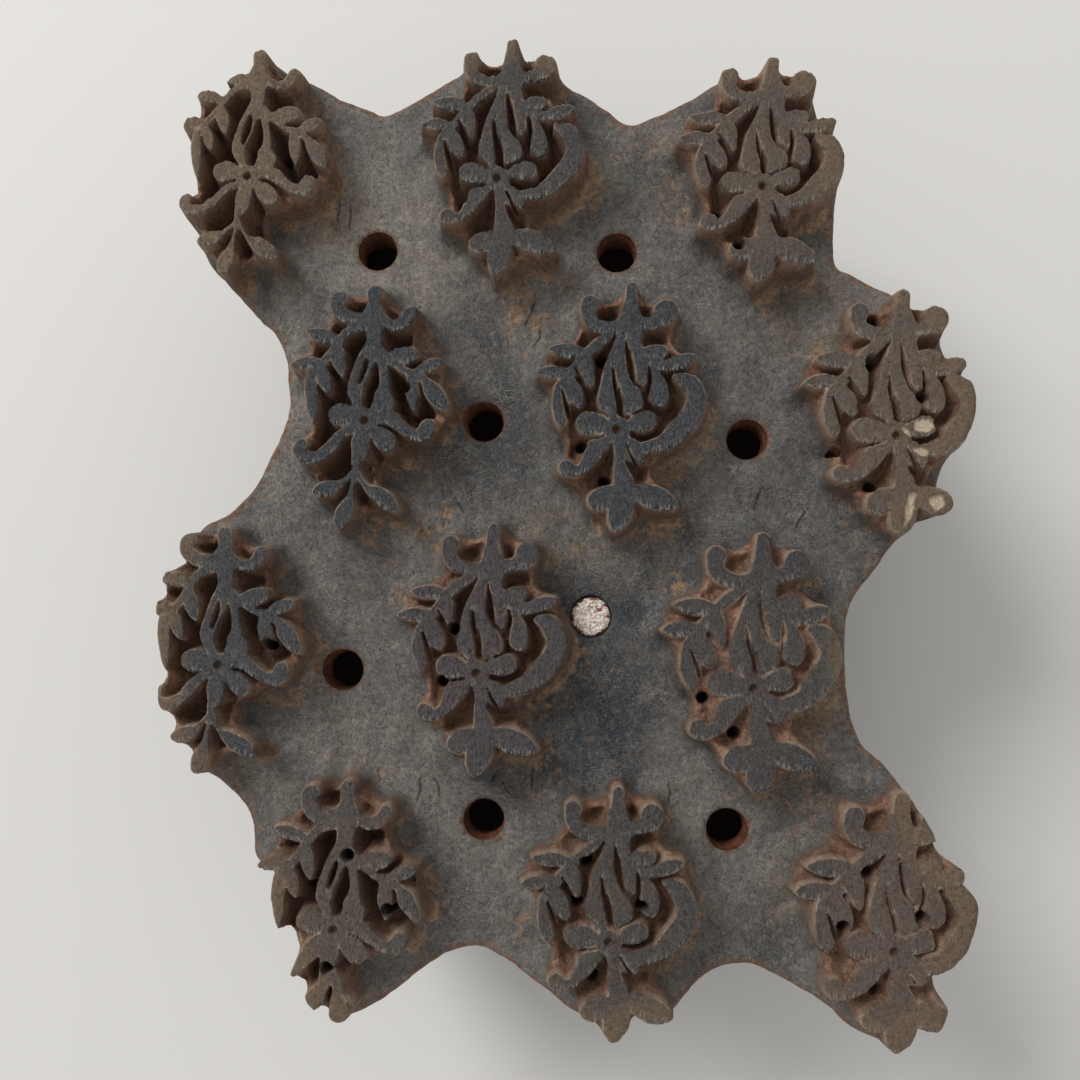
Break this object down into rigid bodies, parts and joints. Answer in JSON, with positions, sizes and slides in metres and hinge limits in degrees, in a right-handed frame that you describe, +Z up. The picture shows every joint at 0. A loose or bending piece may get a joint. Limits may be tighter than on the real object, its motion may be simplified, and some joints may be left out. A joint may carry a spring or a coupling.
{
  "type": "textile printing block",
  "caption": "Hand-carved wooden block for printing flower sprays on cloth, with vents, a grooved grip handle on its back, and a rivet and nails that hold the handle.",
  "frame": {"origin": "middle of the part's bounding box, on the plane of the handle's grip face that the part stands on", "axes": "+Z is up, out of the carved printing face; +Y is along the grain, the handle and the stems of the sprays, towards their buds; +X is to the right, across the grain"},
  "size_m": [0.1544, 0.1886, 0.077],
  "materials": {
    "block_wood": "hand-carved hardwood, dark with old dye and oil, worn smooth",
    "handle_wood": "shaved hardwood, dark and polished by the hand",
    "rivet_metal": "hammered bright, pitted and rust-stained",
    "hardware_iron": "forged iron, brown with rust"
  },
  "bodies": {
    "root": {"carved_block": "block_wood", "handle": "handle_wood", "rivet": "rivet_metal", "rivet_washer": "hardware_iron", "handle_nails": "hardware_iron"}
  },
  "joints": []
}
